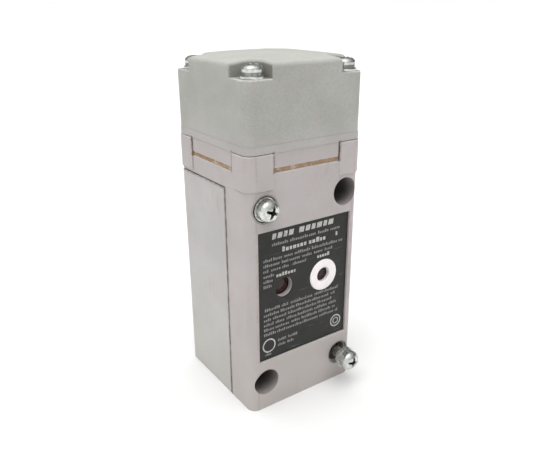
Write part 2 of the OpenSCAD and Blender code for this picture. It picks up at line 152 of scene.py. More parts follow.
# ---------------------------------------------------------------- materials
class Shader:
    """One material in the making: each helper adds a node and returns its output socket."""

    def __init__(self, name):
        self.material = bpy.data.materials.new(name)
        self.material.use_nodes = True
        self.tree = self.material.node_tree
        self.surface = self.tree.nodes["Principled BSDF"]
        self.place = self.add("ShaderNodeTexCoord", {})["Object"]
        self.relief = None

    def add(self, kind, inputs, **settings):
        """A node whose inputs are fed by name or number. Returns its outputs."""
        node = self.tree.nodes.new(kind)
        for key, value in settings.items():
            setattr(node, key, value)
        for key, value in inputs.items():
            self.feed(node.inputs[key], value)
        return node.outputs

    def feed(self, socket, value):
        if isinstance(value, bpy.types.NodeSocket):
            self.tree.links.new(value, socket)
        else:
            socket.default_value = value

    def fixed(self, **values):
        for key, value in values.items():
            self.surface.inputs[key.replace("_", " ")].default_value = value

    def stretched(self, x, y, z):
        return self.add("ShaderNodeMapping", {"Vector": self.place, "Scale": (x, y, z)})["Vector"]

    def noise(self, size_mm, detail=3.0, rough=0.55, place=None):
        """Cloudy noise whose blotches are about size_mm across."""
        inputs = {"Vector": place or self.place, "Scale": 1 / (size_mm * MM)}
        return self.add("ShaderNodeTexNoise", {**inputs, "Detail": detail, "Roughness": rough})["Fac"]

    def cells(self, size_mm):
        inputs = {"Vector": self.place, "Scale": 1 / (size_mm * MM)}
        return self.add("ShaderNodeTexVoronoi", inputs)["Distance"]

    def wave(self, size_mm, axis, distortion=0.0):
        inputs = {"Vector": self.place, "Scale": math.pi / (10 * size_mm * MM), "Distortion": distortion}
        return self.add("ShaderNodeTexWave", inputs, bands_direction=axis)["Fac"]

    def spread(self, value, from_low, from_high, to_low=0.0, to_high=1.0):
        """Maps one range smoothly onto another."""
        ends = {"From Min": from_low, "From Max": from_high, "To Min": to_low, "To Max": to_high}
        inputs = {"Value": value, **ends}
        return self.add("ShaderNodeMapRange", inputs, interpolation_type="SMOOTHSTEP")["Result"]

    def math(self, operation, a, b=0.0):
        return self.add("ShaderNodeMath", {0: a, 1: b}, operation=operation)["Value"]

    def times(self, a, b):
        return self.math("MULTIPLY", a, b)

    def axis(self, name):
        return self.add("ShaderNodeSeparateXYZ", {"Vector": self.place})[name]

    def off(self, axis, place):
        """Distance from a plane across one axis, in metres."""
        return self.math("ABSOLUTE", self.math("SUBTRACT", self.axis(axis), place))

    def near_axis(self, x, z, radius):
        """1 within a radius of a line that runs front to back, 0 outside it. All are in metres."""
        dx = self.math("SUBTRACT", self.axis("X"), x)
        dz = self.math("SUBTRACT", self.axis("Z"), z)
        square = self.math("ADD", self.times(dx, dx), self.times(dz, dz))
        return self.spread(self.math("SQRT", square), radius, radius + 0.03 * MM, 1, 0)

    def near_plane(self, axis, place, reach):
        """1 on the plane, fading to 0 at the reach from it. Both are in metres."""
        return self.spread(self.off(axis, place), 0, reach, 1, 0)

    def below(self, height):
        return self.spread(self.axis("Z"), height - 0.15 * MM, height + 0.15 * MM, 1, 0)

    def above(self, height):
        return self.spread(self.axis("Z"), height - 0.15 * MM, height + 0.15 * MM)

    def mix(self, share, a, b):
        a, b = (c if isinstance(c, bpy.types.NodeSocket) else (*c, 1) for c in (a, b))
        return self.add("ShaderNodeMix", {"Factor": share, 6: a, 7: b}, data_type="RGBA")[2]

    def bump(self, height, strength, depth_mm):
        inputs = {"Height": height, "Strength": strength, "Distance": depth_mm * MM}
        if self.relief:
            inputs["Normal"] = self.relief
        self.relief = self.add("ShaderNodeBump", inputs)["Normal"]

    def done(self, colour, rough):
        self.feed(self.surface.inputs["Base Color"], colour)
        self.feed(self.surface.inputs["Roughness"], rough)
        if self.relief:
            self.feed(self.surface.inputs["Normal"], self.relief)
        return self.material


GRIME = (0.13, 0.09, 0.06)


def seam_dirt(s):
    """1 along the outer rim of the seam between the two castings, fading to 0 away from it."""
    at_side = s.spread(s.off("X", 0), cad_high.x - 1.8 * MM, cad_high.x - 0.9 * MM)
    upright = s.times(s.near_plane("Y", seam_plane, 1.1 * MM), s.below(seam_top + 0.5 * MM))
    behind_seam = s.spread(s.axis("Y"), seam_plane, seam_plane + 0.3 * MM)
    level = s.times(s.near_plane("Z", seam_top, 0.8 * MM), behind_seam)
    at_back = s.times(level, s.spread(s.axis("Y"), -0.8 * MM, -0.3 * MM))
    return s.math("MAXIMUM", s.times(s.math("MAXIMUM", upright, level), at_side), at_back)


def gap_dirt(s):
    """1 beside the upright gaps between the corner posts and the tongues, fading to 0 away from them."""
    gap = None
    for axis, middle in (("X", 0.0), ("Y", head_middle)):
        beside = s.math("ABSOLUTE", s.math("SUBTRACT", s.off(axis, middle), POST_GAP * MM))
        near = s.spread(beside, 0, 0.75 * MM, 1, 0)
        gap = near if gap is None else s.math("MAXIMUM", gap, near)
    level = s.times(s.below(head_foot + 5 * MM), s.above(head_foot - 1.5 * MM))
    return s.times(gap, level)


def enamel(name, light, dark, worn=False):
    """Satin enamel on a casting: uneven tone, orange peel, dirt specks, a dirty line along the seam, painted
    light towards the bottom and painted shade inside the front bores.
    """
    s = Shader(name)
    cloud = s.noise(14, 5)
    tone = s.mix(s.spread(cloud, 0.3, 0.7), light, dark)
    mottle = s.noise(1.6, 3)
    tone = s.mix(s.spread(mottle, 0.35, 0.75, 0, 0.3), tone, dark)
    stain = s.spread(s.noise(7, 4, 0.65, s.stretched(1, 1, 0.35)), 0.56, 0.78, 0, 0.34)
    tone = s.mix(stain, tone, (0.34, 0.27, 0.22))
    specks = s.spread(s.noise(0.55, 2), 0.7, 0.76, 0, 0.6)
    tone = s.mix(specks, tone, GRIME)
    # Painted light: the castings are painted paler and yellower towards the bottom.
    painted_light_low = s.spread(s.axis("Z"), -30 * MM, 15 * MM, 0.6, 0)
    tone = s.mix(painted_light_low, tone, tuple(c * f for c, f in zip(light, (0.99, 1.0, 0.93))))
    patchy = s.spread(s.noise(2.5, 4), 0.3, 0.6, 0.35, 0.95)
    tone = s.mix(s.times(seam_dirt(s), patchy), tone, GRIME)
    corner = s.math("ABSOLUTE", s.math("SUBTRACT", s.off("X", 0), CORNER_LINE * MM))
    rubbed = s.times(s.spread(corner, 0, 0.6 * MM, 0.5, 0), s.spread(s.noise(3, 4), 0.4, 0.6))
    at_front = s.spread(s.axis("Y"), cad_front_y + 1 * MM, cad_front_y + 2 * MM, 1, 0)
    rubbed = s.times(rubbed, at_front)
    tone = s.mix(rubbed, tone, (0.36, 0.3, 0.25))
    tone = s.mix(s.times(gap_dirt(s), patchy), tone, GRIME)
    # Painted shade inside the four front bores, darker with depth.
    inside = s.spread(s.axis("Y"), cad_front_y + 0.5 * MM, cad_front_y + 7 * MM, 0.4, 0.8)
    inside = s.times(inside, s.spread(s.axis("Y"), -0.6 * MM, -0.3 * MM, 1, 0))
    for x, z in HOLES:
        bore_shade = s.times(inside, s.near_axis(x * MM, z * MM, BORE_R * MM))
        tone = s.mix(bore_shade, tone, (0.075, 0.066, 0.057))
    if worn:
        chips = s.spread(s.noise(1.1, 4, 0.7), 0.47, 0.56, 0.1, 0.6)
        tone = s.mix(chips, tone, (0.58, 0.55, 0.53))
    s.bump(s.noise(0.32, 2), 0.35, 0.03)
    s.bump(s.noise(2.2, 2), 0.3, 0.08)
    s.fixed(Specular_IOR_Level=0.4)
    return s.done(tone, s.spread(cloud, 0.3, 0.7, 0.46, 0.6))


def notch_shade(s):
    """1 on the walls and floors of the four screw notches of the head, where shade is painted; 0 elsewhere.
    """
    over_floor = s.spread(s.axis("Z"), *(head_high.z - drop * MM for drop in NOTCH_SHADE_LOW), 0, 1)
    under_top = s.spread(s.axis("Z"), *(head_high.z - drop * MM for drop in NOTCH_SHADE_HIGH), 1, 0)
    inside = s.times(over_floor, under_top)
    for axis, middle, half, notch in (
        ("X", 0.0, head_high.x, NOTCH_X),
        ("Y", head_middle, (head_high.y - head_low.y) / 2, NOTCH_Y),
    ):
        off = s.off(axis, middle)
        inside = s.times(inside, s.spread(off, (notch - 0.3) * MM, notch * MM, 0, 1))
        inside = s.times(inside, s.spread(off, half - 0.9 * MM, half - 0.35 * MM, 1, 0))
    return inside


def grained_plastic(name, worn=False):
    """Greenish grey moulding with a fine grain, a few scuffs and rubbed edges, painted shade in the screw
    notches and painted light towards its foot.
    """
    s = Shader(name)
    light = (0.46, 0.46, 0.43)
    dark = (0.40, 0.405, 0.375)
    cloud = s.noise(11, 4)
    tone = s.mix(s.spread(cloud, 0.3, 0.7), light, dark)
    grain = s.noise(0.42, 3, 0.6)
    tone = s.mix(s.spread(grain, 0.35, 0.7, 0, 0.45), tone, (0.3, 0.3, 0.275))
    warm = s.spread(s.noise(5, 4), 0.56, 0.75, 0, 0.3)
    tone = s.mix(warm, tone, (0.44, 0.37, 0.32))
    # Painted light: the head is painted paler and pinker towards its foot.
    foot = s.spread(s.axis("Z"), head_foot - 3 * MM, head_foot + 13 * MM, 0.95, 0)
    tone = s.mix(foot, tone, (0.485, 0.435, 0.435))
    tone = s.mix(s.times(gap_dirt(s), 0.8), tone, GRIME)
    scuff = s.noise(0.9, 4, 0.7, s.stretched(1, 1, 0.12))
    tone = s.mix(s.spread(scuff, 0.66, 0.74, 0, 0.3), tone, (0.62, 0.61, 0.57))
    # Painted shade on the walls and floors of the screw notches.
    shadow = s.times(notch_shade(s), s.spread(cloud, 0.3, 0.7, 0.45, 0.7))
    tone = s.mix(shadow, tone, (0.15, 0.145, 0.13))
    if worn:
        tone = s.mix(s.spread(s.noise(1.5, 3), 0.4, 0.6, 0.2, 0.6), tone, (0.56, 0.56, 0.53))
    s.bump(grain, 0.5, 0.05)
    s.bump(s.cells(0.5), 0.25, 0.03)
    s.fixed(Specular_IOR_Level=0.3)
    return s.done(tone, s.spread(cloud, 0.3, 0.7, 0.58, 0.7))


def satin_black_plate():
    """Black lacquer on a thin plate: fine brushing, dust and light scratches."""
    s = Shader("nameplate_lacquer")
    dust = s.spread(s.noise(3.2, 5, 0.65), 0.42, 0.72, 0, 0.5)
    tone = s.mix(dust, (0.014, 0.014, 0.013), (0.038, 0.037, 0.033))
    scratch = s.spread(s.noise(0.35, 2, 0.5, s.stretched(0.06, 1, 1)), 0.68, 0.72, 0, 0.55)
    tone = s.mix(scratch, tone, (0.14, 0.14, 0.135))
    s.bump(s.noise(0.2, 2, 0.5, s.stretched(0.1, 1, 1)), 0.15, 0.01)
    s.fixed(Specular_IOR_Level=0.3)
    return s.done(tone, s.spread(dust, 0, 0.5, 0.34, 0.55))


def printing_ink(name, full, thin):
    """Pale ink, thin and broken in places."""
    s = Shader(name)
    wear = s.spread(s.noise(0.6, 4, 0.7), 0.45, 0.7, 0, 0.75)
    return s.done(s.mix(wear, full, thin), s.spread(wear, 0, 0.75, 0.5, 0.65))


def smooth_plastic(name, light, dark, rough, size_mm=1.6, specular=0.45):
    """Moulded plastic: slight mottling, faint flow marks and fine dust."""
    s = Shader(name)
    cloud = s.noise(size_mm * 3, 4)
    tone = s.mix(s.spread(cloud, 0.3, 0.7), light, dark)
    dust = s.spread(s.noise(size_mm * 0.4, 3), 0.6, 0.8, 0, 0.25)
    tone = s.mix(dust, tone, tuple(c * 0.6 + 0.12 for c in light))
    s.bump(s.noise(size_mm * 0.25, 2), 0.2, 0.02)
    s.fixed(Specular_IOR_Level=specular)
    return s.done(tone, s.spread(cloud, 0.3, 0.7, rough - 0.06, rough + 0.08))


def plated_metal(name, light, dark, rough):
    """Plated steel or brass: patchy passivation, fine scratches and dull spots."""
    s = Shader(name)
    cloud = s.noise(1.3, 4, 0.65)
    tone = s.mix(s.spread(cloud, 0.35, 0.65), light, dark)
    spots = s.spread(s.noise(0.4, 2), 0.66, 0.74, 0, 0.5)
    tone = s.mix(spots, tone, tuple(c * 0.35 for c in dark))
    scratch = s.noise(0.12, 2, 0.5, s.stretched(1, 1, 0.12))
    s.bump(scratch, 0.18, 0.01)
    s.bump(s.noise(0.9, 2), 0.25, 0.04)
    s.fixed(Metallic=1.0)
    return s.done(tone, s.spread(cloud, 0.3, 0.7, rough, rough + 0.16))


def clear_lens(name, tint, deep, coat):
    """Tinted lens: clear coat over a dark, faintly pebbled body."""
    s = Shader(name)
    cloud = s.noise(1.2, 3)
    tone = s.mix(s.spread(cloud, 0.3, 0.7), tint, deep)
    s.bump(s.cells(0.7), 0.2, 0.05)
    s.fixed(Coat_Weight=coat, Coat_Roughness=0.08, Specular_IOR_Level=coat)
    return s.done(tone, s.spread(cloud, 0.3, 0.7, 0.18, 0.3))


def fibre_gasket():
    """Compressed fibre sheet: long pale and brown fibres with frayed tone."""
    s = Shader("gasket_fibre")
    fibre = s.noise(0.5, 5, 0.7, s.stretched(0.25, 0.25, 1.5))
    tone = s.mix(s.spread(fibre, 0.35, 0.65), (0.46, 0.32, 0.2), (0.27, 0.17, 0.1))
    pale = s.spread(s.noise(1.8, 4), 0.5, 0.7, 0, 0.75)
    tone = s.mix(pale, tone, (0.56, 0.46, 0.36))
    s.bump(fibre, 0.6, 0.08)
    return s.done(tone, s.spread(fibre, 0.3, 0.7, 0.75, 0.9))


def soft_rubber():
    s = Shader("seal_rubber")
    bloom = s.spread(s.noise(2.4, 4), 0.45, 0.75, 0, 0.6)
    tone = s.mix(bloom, (0.02, 0.02, 0.02), (0.07, 0.068, 0.064))
    s.bump(s.noise(0.3, 3), 0.3, 0.04)
    return s.done(tone, s.spread(bloom, 0, 0.6, 0.6, 0.8))


def laminate():
    """Glass laminate: weave under green mask, with tracks that show paler through it."""
    s = Shader("board_laminate")
    weave = s.times(s.wave(0.35, "X"), s.wave(0.35, "Z"))
    tone = s.mix(s.spread(weave, 0.1, 0.7), (0.02, 0.14, 0.055), (0.035, 0.2, 0.085))
    track = s.times(s.wave(1.9, "X", 1.5), s.spread(s.noise(5, 1), 0.45, 0.5))
    tone = s.mix(s.spread(track, 0.6, 0.7, 0, 0.8), tone, (0.09, 0.3, 0.12))
    s.bump(weave, 0.2, 0.02)
    s.fixed(Specular_IOR_Level=0.6)
    return s.done(tone, s.spread(weave, 0, 1, 0.3, 0.42))


def wound_copper():
    """Enamelled wire: even turns round the bobbin, with painted shade between the turns."""
    s = Shader("copper_winding")
    turns = s.wave(0.22, "Z", 0.3)
    # Painted shade: the wire is painted dark between the turns.
    tone = s.mix(s.spread(turns, 0.1, 0.6), (0.16, 0.045, 0.015), (0.72, 0.3, 0.12))
    s.bump(turns, 0.8, 0.08)
    s.fixed(Metallic=0.85, Coat_Weight=0.4)
    return s.done(tone, s.spread(turns, 0, 1, 0.45, 0.25))


def cast_resin():
    s = Shader("potting_resin")
    cloud = s.noise(6, 5, 0.6)
    tone = s.mix(s.spread(cloud, 0.35, 0.65), (0.12, 0.095, 0.075), (0.055, 0.045, 0.038))
    bubbles = s.spread(s.cells(1.7), 0.04, 0.12, 1, 0)
    tone = s.mix(s.times(bubbles, 0.6), tone, (0.25, 0.21, 0.17))
    s.bump(s.noise(2.8, 3), 0.5, 0.2)
    s.fixed(Specular_IOR_Level=0.6)
    return s.done(tone, s.spread(cloud, 0.3, 0.7, 0.2, 0.4))


def ribbon_insulation():
    """Grey ribbon: one ridge for each conductor, with a red one at the edge, and painted shade between the
    ridges.
    """
    s = Shader("ribbon_insulation")
    ridges = s.wave(1.27, "X")
    # Painted shade: the ribbon is painted darker in the valleys between the ridges.
    tone = s.mix(s.spread(ridges, 0.1, 0.5), (0.16, 0.155, 0.145), (0.32, 0.31, 0.29))
    marked = s.spread(s.axis("X"), -3.4 * MM, -3.2 * MM, 1, 0)
    tone = s.mix(marked, tone, (0.35, 0.05, 0.04))
    s.bump(ridges, 0.8, 0.2)
    return s.done(tone, s.spread(ridges, 0, 1, 0.5, 0.42))


def sintered_ferrite():
    s = Shader("ferrite")
    grain = s.cells(0.25)
    tone = s.mix(s.spread(grain, 0, 0.6), (0.03, 0.03, 0.034), (0.075, 0.075, 0.08))
    s.bump(grain, 0.4, 0.03)
    return s.done(tone, s.spread(s.noise(1.5, 3), 0.3, 0.7, 0.35, 0.55))


ENAMEL_BODY = ((0.50, 0.455, 0.455), (0.455, 0.42, 0.415))
ENAMEL_RECEPTACLE = ((0.52, 0.50, 0.495), (0.475, 0.46, 0.45))

MATERIALS = {
    "receptacle_paint": enamel("receptacle_enamel", *ENAMEL_RECEPTACLE),
    "body_paint": enamel("body_enamel", *ENAMEL_BODY),
    "head_plastic": grained_plastic("head_grain"),
    "nameplate_black": satin_black_plate(),
    "white_plastic": smooth_plastic("ring_white", (0.98, 0.93, 0.92), (0.93, 0.88, 0.87), 0.4),
    "power_lens": clear_lens("power_lens_tint", (0.03, 0.014, 0.016), (0.014, 0.008, 0.009), 0.2),
    "output_lens": clear_lens("output_lens_tint", (0.05, 0.018, 0.014), (0.022, 0.009, 0.007), 0.25),
    "zinc_steel": plated_metal("zinc_plating", (0.72, 0.74, 0.715), (0.5, 0.52, 0.49), 0.2),
    "green_steel": plated_metal("green_plating", (0.09, 0.36, 0.16), (0.05, 0.22, 0.09), 0.3),
    "contact_brass": plated_metal("contact_brass_face", (0.83, 0.64, 0.3), (0.66, 0.48, 0.2), 0.24),
    "black_moulding": smooth_plastic(
        "black_moulding_face", (0.026, 0.024, 0.023), (0.038, 0.036, 0.034), 0.42
    ),
    "seal_rubber": soft_rubber(),
    "gasket_tan": fibre_gasket(),
    "board_laminate": laminate(),
    "led_epoxy": clear_lens("led_epoxy_clear", (0.6, 0.52, 0.48), (0.45, 0.36, 0.33), 0.6),
    "capacitor_sleeve": smooth_plastic(
        "capacitor_sleeve_face", (0.05, 0.075, 0.22), (0.035, 0.055, 0.17), 0.3
    ),
    "lead_insulation": ribbon_insulation(),
    "ferrite": sintered_ferrite(),
    "bobbin_plastic": smooth_plastic("bobbin_face", (0.72, 0.68, 0.56), (0.64, 0.6, 0.49), 0.45),
    "copper_winding": wound_copper(),
    "potting_resin": cast_resin(),
}
WORN = {
    "receptacle_paint": enamel("receptacle_edge", *ENAMEL_RECEPTACLE, worn=True),
    "body_paint": enamel("body_edge", *ENAMEL_BODY, worn=True),
    "head_plastic": grained_plastic("head_edge", worn=True),
}
# Painted shade: a dark metal for the driver recesses of the screws, in place of the shadow in them.
RECESS_SHADE = plated_metal("recess_painted_shade", (0.24, 0.225, 0.21), (0.1, 0.09, 0.085), 0.5)
# Nodes with a material of their own in place of their slot's: the head's lock washers are darkened with
# painted shade, for the shadow under the screw heads
PAINTED_SHADE_FINISHES = {"head_lock_washers": plated_metal("lock_washer_painted_shade", (0.36, 0.37, 0.35), (0.2, 0.2, 0.19), 0.38)}
for node_name, node in frame["nodes"].items():
    node.data.materials.clear()
    node.data.materials.append(MATERIALS[SLOT_OF[node_name]])


# ---------------------------------------------------------------- mesh helpers
SHARP_CREASE = math.radians(35)


def mesh_from(bm, name):
    """A mesh made from a bmesh, which is used up."""
    mesh = bpy.data.meshes.new(name)
    bm.to_mesh(mesh)
    bm.free()
    return mesh


def placed(name, data):
    """A new object in the scene."""
    thing = bpy.data.objects.new(name, data)
    bpy.context.scene.collection.objects.link(thing)
    return thing


def piece_from(bm, name, body, slot, replaced=None):
    """Turns a bmesh into a finished piece that rides on a body."""
    bmesh.ops.recalc_face_normals(bm, faces=bm.faces)
    mesh = mesh_from(bm, name)
    mesh.shade_smooth()
    mesh.set_sharp_from_angle(angle=SHARP_CREASE)
    mesh.materials.append(MATERIALS[slot])
    piece = placed(name, mesh)
    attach(piece, body)
    if replaced:
        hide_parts(replaced)
    return piece


def solids_of(node):
    """(low, high) in metres of each separate solid of a CAD node, in order of place."""
    bm = bmesh.new()
    bm.from_mesh(frame["nodes"][node].data)
    bmesh.ops.remove_doubles(bm, verts=bm.verts, dist=1e-6)
    left = set(bm.verts)
    found = []
    while left:
        stack = [left.pop()]
        group = list(stack)
        while stack:
            for edge in stack.pop().link_edges:
                for vert in edge.verts:
                    if vert in left:
                        left.remove(vert)
                        stack.append(vert)
                        group.append(vert)
        low = Vector([min(v.co[i] for v in group) for i in range(3)])
        high = Vector([max(v.co[i] for v in group) for i in range(3)])
        found.append((low, high))
    bm.free()
    return sorted(found, key=lambda pair: [round(c, 5) for c in pair[0]])


def join(bm, low, high):
    """A strip of faces between two rings of vertices."""
    for i in range(len(low)):
        j = (i + 1) % len(low)
        bm.faces.new((low[i], low[j], high[j], high[i]))


def skin(bm, rings, closed=False):
    """Faces between neighbouring rings of points. The ends are capped, or joined to each other if closed."""
    loops = [[bm.verts.new(point) for point in ring] for ring in rings]
    pairs = list(zip(loops, loops[1:]))
    if closed:
        pairs.append((loops[-1], loops[0]))
    for low, high in pairs:
        join(bm, low, high)
    if not closed:
        bm.faces.new(list(reversed(loops[0])))
        bm.faces.new(loops[-1])


def ring(place, around, radius, height):
    """A ring of points, in metres.

    radius and height are in millimetres. radius can be a function of the angle, and height one of x and y."""
    points = []
    for i in range(around):
        angle = math.tau * i / around
        r = radius(angle) if callable(radius) else radius
        h = height(r * math.cos(angle), r * math.sin(angle)) if callable(height) else height
        points.append(place @ Vector((r * math.cos(angle) * MM, r * math.sin(angle) * MM, h * MM)))
    return points


def facing_front(low, high, y):
    """A place on a box's middle line, with local z to the front, and the box's depth and radius in mm."""
    middle = (low + high) / 2
    place = Matrix.Translation((middle.x, y, middle.z)) @ FRONTWARD
    return place, (high.y - low.y) / MM, (high.x - low.x) / 2 / MM


def rounded_edge(radius, height, fillet, steps=4):
    """(radius, height) points of a rounded outer corner, from the side to the top."""
    turns = [math.pi / 2 * i / steps for i in range(steps + 1)]
    return [(radius - fillet + fillet * math.cos(a), height - fillet + fillet * math.sin(a)) for a in turns]


# ---------------------------------------------------------------- CAD shapes with softened edges
HARD_EDGE = math.radians(28)
SAME_RUN = math.radians(40)
LEAST_ROUNDING = 0.02
SHARE_OF_ROOM = 0.42
SAME_FACING = math.cos(math.radians(40))

# Top of the head, in millimetres: where it is cut off, and the dome and rounding that take its place
CROWN_CUT = 3.5
CROWN_SPHERE = 169
CROWN_ROUNDING = 1.2
CROWN_STEPS = 6
CROWN_RINGS = 8


def steady_normals(mesh):
    """Shading normals that keep flat faces flat beside a rounding: at each corner, the mean by area of the
    faces there that face nearly the same way."""
    around = [[] for _ in mesh.vertices]
    for face in mesh.polygons:
        for vert in face.vertices:
            around[vert].append((face.normal.copy(), face.area))
    normals = []
    for face in mesh.polygons:
        for vert in face.vertices:
            alike = [normal * area for normal, area in around[vert] if normal.dot(face.normal) > SAME_FACING]
            normals.append(sum(alike, Vector()).normalized())
    mesh.shade_smooth()
    mesh.normals_split_custom_set(normals)


def room_beside(edge, hard):
    """How far the two faces of an edge reach before they meet another edge, in metres."""
    along = (edge.verts[1].co - edge.verts[0].co).normalized()
    room = 1.0
    for face in edge.link_faces:
        loop = next(l for l in face.loops if l.edge == edge)
        inward = face.normal.cross(loop.link_loop_next.vert.co - loop.vert.co).normalized()
        for share in (0.04, 0.5, 0.96):
            start = edge.verts[0].co.lerp(edge.verts[1].co, share)
            for other in face.edges:
                if other == edge or not (other in hard):
                    continue
                a = other.verts[0].co - start
                b = other.verts[1].co - start
                u = a.dot(along)
                v = b.dot(along)
                if u * v > 0 or abs(u - v) < 1e-9:
                    continue
                reach = (a + (b - a) * (u / (u - v))).dot(inward)
                if reach > 1e-7:
                    room = min(room, reach)
    for vert in edge.verts:
        for other in vert.link_edges:
            if other != edge and not (other in hard and runs_on(edge, vert, other)):
                room = min(room, other.calc_length())
        for face in vert.link_faces:
            corner = next(loop for loop in face.loops if loop.vert == vert)
            if corner.edge not in hard and corner.link_loop_prev.edge not in hard:
                longest = max(side.calc_length() for side in face.edges)
                room = min(room, 2 * face.calc_area() / longest)
    return room


def runs_on(edge, vert, other):
    """True where one edge goes on into another at a vertex without a corner."""
    ahead = vert.co - edge.other_vert(vert).co
    return ahead.angle(other.other_vert(vert).co - vert.co, 0) < SAME_RUN


def chains_of(hard):
    """Groups of hard edges that run on from one another without a corner, to share one width."""
    left = set(hard)
    while left:
        stack = [left.pop()]
        chain = list(stack)
        while stack:
            edge = stack.pop()
            for vert in edge.verts:
                for other in vert.link_edges:
                    if other in left and runs_on(edge, vert, other):
                        left.remove(other)
                        stack.append(other)
                        chain.append(other)
        yield chain


def outline_of(bm):
    """The highest open rim of a cut mesh, as vertices in order, anticlockwise from above."""
    last = max((edge for edge in bm.edges if edge.is_boundary), key=lambda edge: edge.verts[0].co.z)
    rim = [last.verts[0], last.verts[1]]
    while True:
        last = next(edge for edge in rim[-1].link_edges if edge.is_boundary and edge != last)
        ahead = last.other_vert(rim[-1])
        if ahead == rim[0]:
            break
        rim.append(ahead)
    area = sum(a.co.x * b.co.y - b.co.x * a.co.y for a, b in zip(rim, rim[1:] + rim[:1]))
    return rim if area > 0 else rim[::-1]


def steps_inward(outline):
    """For each point of an outline, the step that moves both of its sides inwards by one unit."""
    steps = []
    for i, point in enumerate(outline):
        before = (point - outline[i - 1]).normalized()
        after = (outline[(i + 1) % len(outline)] - point).normalized()
        a = Vector((-before.y, before.x))
        b = Vector((-after.y, after.x))
        steps.append((a + b) / (1 + a.dot(b)))
    return steps


def crowned_top(bm):
    """Rebuilds the top of the head: a shallow dome with a full rounding round its rim."""
    bmesh.ops.bisect_plane(bm, geom=bm.verts[:] + bm.edges[:] + bm.faces[:], dist=1e-6,
        plane_co=(0, 0, head_high.z - CROWN_CUT * MM), plane_no=(0, 0, 1), clear_outer=True)
    rim = outline_of(bm)
    flat = [vert.co.xy for vert in rim]
    inward = steps_inward(flat)
    middle = Vector((0, head_middle))
    levels = []
    for i in range(CROWN_STEPS + 1):
        turn = math.pi / 2 * i / CROWN_STEPS
        inset = CROWN_ROUNDING * MM * (1 - math.cos(turn))
        edge = [point + step * inset for point, step in zip(flat, inward)]
        levels.append((edge, CROWN_ROUNDING * MM * (1 - math.sin(turn))))
    for i in range(1, CROWN_RINGS):
        levels.append(([middle + (point - middle) * (1 - i / CROWN_RINGS) for point in edge], 0))
    last = rim
    for points, drop in levels:
        ahead = []
        for point in points:
            dip = (point - middle).length_squared / (2 * CROWN_SPHERE * MM)
            ahead.append(bm.verts.new((point.x, point.y, head_high.z - dip - drop)))
        join(bm, last, ahead)
        last = ahead
    bm.faces.new(last)


def weigh_edges(bm, width_mm, width_at):
    """Gives each run of hard edges one bevel weight: the widest rounding wanted that fits all along it."""
    weights = bm.edges.layers.float.new("bevel_weight_edge")
    hard = {edge for edge in bm.edges if len(edge.link_faces) == 2 and edge.calc_face_angle(0) > HARD_EDGE}
    for chain in chains_of(hard):
        width = width_mm
        for edge in chain:
            spot = (edge.verts[0].co + edge.verts[1].co) / 2
            wanted = width_at(spot) if width_at else width_mm
            width = min(width, wanted, SHARE_OF_ROOM * room_beside(edge, hard) / MM)
        for edge in chain:
            edge[weights] = clamp(width / width_mm) if width > LEAST_ROUNDING else 0


def bake_bevel(piece, width_mm, segments, edge_slot):
    """Rounds the weighted edges of a piece for good, and gives the roundings a material slot."""
    bevel = piece.modifiers.new("rounding", "BEVEL")
    bevel.limit_method = "WEIGHT"
    bevel.width = width_mm * MM
    bevel.segments = segments
    bevel.use_clamp_overlap = False
    bevel.material = edge_slot
    rounded = piece.evaluated_get(bpy.context.evaluated_depsgraph_get())
    piece.data = bpy.data.meshes.new_from_object(rounded)
    piece.data.name = piece.name
    piece.modifiers.clear()
    steady_normals(piece.data)


def softened(node, width_mm, width_at=None, segments=3, reshape=None):
    """A copy of a CAD node with its hard edges rounded.

    width_at(spot) gives a smaller width in places, in mm. reshape(bm) changes the copy beforehand."""
    bm = bmesh.new()
    bm.from_mesh(frame["nodes"][node].data)
    bmesh.ops.remove_doubles(bm, verts=bm.verts, dist=2e-6)
    bmesh.ops.dissolve_limit(bm, angle_limit=math.radians(0.6), verts=bm.verts, edges=bm.edges)
    if reshape:
        reshape(bm)
    bm.normal_update()
    weigh_edges(bm, width_mm, width_at)
    mesh = mesh_from(bm, node + "_hard")
    slot = SLOT_OF[node]
    mesh.materials.append(PAINTED_SHADE_FINISHES.get(node, MATERIALS[slot]))
    if slot in WORN:
        mesh.materials.append(WORN[slot])
    piece = placed(node + "_soft", mesh)
    bake_bevel(piece, width_mm, segments, 1 if slot in WORN else -1)
    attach(piece, BODY_OF[node])
    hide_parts(node)


# ---------------------------------------------------------------- screws
def turned(x, y, angle):
    """A point as seen from axes that are turned by an angle."""
    return x * math.cos(angle) + y * math.sin(angle), y * math.cos(angle) - x * math.sin(angle)


def cross_recess(x, y, reach, half_width):
    """How deep a cross recess is at a point of the head, from 0 to 1."""
    def arm(along, across):
        wall = (half_width * (1.3 - 0.5 * abs(along) / reach) - abs(across)) / (half_width * 0.45)
        floor = (reach - abs(along)) / (reach * 0.6)
        return clamp(wall) * clamp(floor)
    core = clamp((half_width * 2 - math.hypot(x, y)) / (half_width * 0.7))
    return max(arm(x, y), arm(y, x), core)


def slot_recess(x, y, reach, half_width):
    """How deep a slot is at a point of the head, from 0 to 1. It runs right across the head."""
    return clamp((half_width - abs(y)) / (half_width * 0.35))


def head_rings(place, radius, height, side, recess, depth, turn, rings, around):
    """Rings of a domed screw head, from its foot to its middle, with a driver recess sunk into the dome."""
    reach = radius * RECESS_REACH
    half_width = radius * RECESS_HALF_WIDTH

    def top(x, y):
        off = math.hypot(x, y) / radius
        dome = side + (height - side) * math.sqrt(max(0.0, 1 - off ** 2.4))
        u, v = turned(x, y, turn)
        return dome - depth * recess(u, v, reach, half_width)

    made = [ring(place, around, radius - HEAD_FILLET, 0), ring(place, around, radius, HEAD_FILLET)]
    made.append(ring(place, around, radius, side * 0.9))
    outer = rings // 3
    for i in range(outer):
        made.append(ring(place, around, radius * math.cos(HEAD_SHOULDER * (i / outer) ** 1.3), top))
    inner = radius * math.cos(HEAD_SHOULDER)
    for i in range(rings):
        made.append(ring(place, around, max(inner * (1 - i / rings), 0.01), top))
    return made


